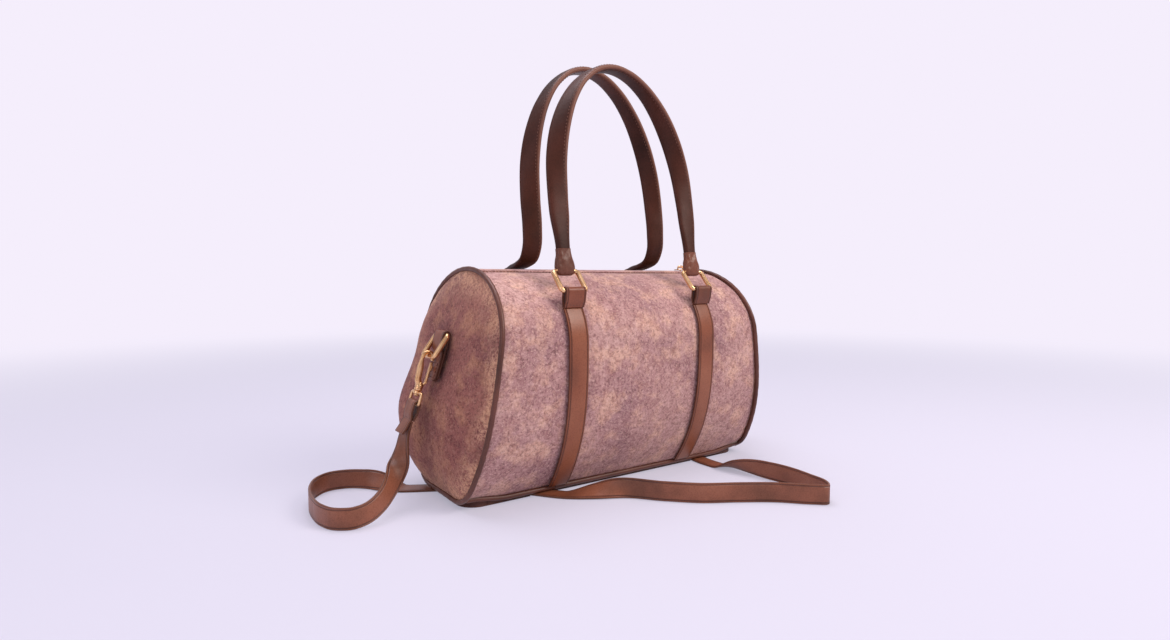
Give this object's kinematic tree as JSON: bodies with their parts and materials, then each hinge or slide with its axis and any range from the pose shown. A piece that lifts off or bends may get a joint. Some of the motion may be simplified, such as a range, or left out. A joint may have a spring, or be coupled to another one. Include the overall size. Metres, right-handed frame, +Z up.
{
  "type": "barrel handbag",
  "caption": "Barrel-shaped suede handbag with a zip top, arched leather handles on metal rings and a clip-on shoulder strap laid round its base.",
  "frame": {"origin": "centre of the base on the surface it stands on", "axes": "+X along the bag to its right end, +Y to its back, +Z up"},
  "size_m": [0.495, 0.2961, 0.3958],
  "materials": {
    "suede": "matte",
    "trim": "satin",
    "lining": "matte",
    "board": "matte",
    "hardware": "polished",
    "zip": "satin"
  },
  "bodies": {
    "bag": {"front_panel": "suede", "back_panel": "suede", "base_panel": "suede", "base_board": "board", "lining": "lining", "front_base_piping": "trim", "back_base_piping": "trim", "end_panel_left": "suede", "end_panel_right": "suede", "end_piping_left": "trim", "end_piping_right": "trim", "zip_end_left": "suede", "zip_end_right": "suede", "zip_stop_left": "hardware", "zip_stop_right": "hardware", "body_strap_front_left": "trim", "body_strap_front_right": "trim", "body_strap_back_left": "trim", "body_strap_back_right": "trim", "keeper_front_left": "trim", "keeper_front_right": "trim", "keeper_back_left": "trim", "keeper_back_right": "trim", "side_tab_left": "trim", "side_tab_right": "trim", "strap_run": "trim"},
    "slider": {"zip_slider": "hardware"},
    "pull": {"zip_pull": "hardware"},
    "flap_front": {"zip_flap_front": "suede", "zip_teeth_front": "zip"},
    "rings_front": {"handle_ring_front_left": "hardware", "handle_ring_front_right": "hardware"},
    "handle_front_body": {"handle_front": "trim", "chape_front_left": "trim", "chape_front_right": "trim"},
    "flap_back": {"zip_flap_back": "suede", "zip_teeth_back": "zip"},
    "rings_back": {"handle_ring_back_left": "hardware", "handle_ring_back_right": "hardware"},
    "handle_back_body": {"handle_back": "trim", "chape_back_left": "trim", "chape_back_right": "trim"},
    "ring_left": {"side_ring_left": "hardware", "strap_curl_left": "trim"},
    "hook_left": {"snap_hook_left": "hardware", "strap_drop_left": "trim"},
    "gate_left": {"hook_gate_left": "hardware"},
    "eye_left": {"swivel_eye_left": "hardware", "strap_loop_left": "trim"},
    "ring_right": {"side_ring_right": "hardware", "strap_curl_right": "trim"},
    "hook_right": {"snap_hook_right": "hardware", "strap_drop_right": "trim"},
    "gate_right": {"hook_gate_right": "hardware"},
    "eye_right": {"swivel_eye_right": "hardware", "strap_loop_right": "trim"}
  },
  "joints": [
    {"name": "zip_slide", "type": "slide", "parent": "bag", "child": "slider", "axis": [1, 0, 0], "range_m": [-0.23, 0]},
    {"name": "pull_swing", "type": "hinge", "parent": "slider", "child": "pull", "pos_m": [0.115, 0, 0.20043], "axis": [0, -1, 0], "range_deg": [0, 170]},
    {"name": "flap_front_fold", "type": "hinge", "parent": "bag", "child": "flap_front", "pos_m": [0, -0.0157, 0.19452], "axis": [-1, 0, 0], "range_deg": [0, 75]},
    {"name": "rings_front_swing", "type": "hinge", "parent": "bag", "child": "rings_front", "pos_m": [0, -0.07367, 0.1783], "axis": [1, 0, 0], "range_deg": [-3, 100]},
    {"name": "handle_front_swing", "type": "hinge", "parent": "rings_front", "child": "handle_front_body", "pos_m": [0, -0.05923, 0.1949], "axis": [1, 0, 0], "range_deg": [0, 45]},
    {"name": "flap_back_fold", "type": "hinge", "parent": "bag", "child": "flap_back", "pos_m": [0, 0.0157, 0.19452], "axis": [1, 0, 0], "range_deg": [0, 75]},
    {"name": "rings_back_swing", "type": "hinge", "parent": "bag", "child": "rings_back", "pos_m": [0, 0.07367, 0.1783], "axis": [-1, 0, 0], "range_deg": [-1.5, 100]},
    {"name": "handle_back_swing", "type": "hinge", "parent": "rings_back", "child": "handle_back_body", "pos_m": [0, 0.05389, 0.18794], "axis": [-1, 0, 0], "range_deg": [0, 45]},
    {"name": "ring_left_swing", "type": "hinge", "parent": "bag", "child": "ring_left", "pos_m": [-0.16008, 0, 0.141], "axis": [0, 1, 0], "range_deg": [0, 90], "deforming": ["strap_curl_left"]},
    {"name": "hook_left_swing", "type": "hinge", "parent": "ring_left", "child": "hook_left", "pos_m": [-0.17301, 0, 0.1232], "axis": [0, 1, 0], "range_deg": [0, 60], "deforming": ["strap_drop_left"]},
    {"name": "gate_left_open", "type": "hinge", "parent": "hook_left", "child": "gate_left", "pos_m": [-0.17582, 0, 0.10154], "axis": [0, -1, 0], "range_deg": [0, 18], "stiffness_Nm_per_rad": 0.02},
    {"name": "eye_left_swivel", "type": "hinge", "parent": "hook_left", "child": "eye_left", "pos_m": [-0.17301, 0, 0.1232], "axis": [-0.3256, 0, -0.9455], "continuous": true},
    {"name": "ring_right_swing", "type": "hinge", "parent": "bag", "child": "ring_right", "pos_m": [0.16008, 0, 0.141], "axis": [0, -1, 0], "range_deg": [0, 90], "deforming": ["strap_curl_right"]},
    {"name": "hook_right_swing", "type": "hinge", "parent": "ring_right", "child": "hook_right", "pos_m": [0.17301, 0, 0.1232], "axis": [0, -1, 0], "range_deg": [0, 60], "deforming": ["strap_drop_right"]},
    {"name": "gate_right_open", "type": "hinge", "parent": "hook_right", "child": "gate_right", "pos_m": [0.17582, 0, 0.10154], "axis": [0, 1, 0], "range_deg": [0, 18], "stiffness_Nm_per_rad": 0.02},
    {"name": "eye_right_swivel", "type": "hinge", "parent": "hook_right", "child": "eye_right", "pos_m": [0.17301, 0, 0.1232], "axis": [0.3256, 0, -0.9455], "continuous": true}
  ],
  "couplings": [
    {"joint": "flap_back_fold", "follows": "flap_front_fold", "ratio": 1}
  ]
}
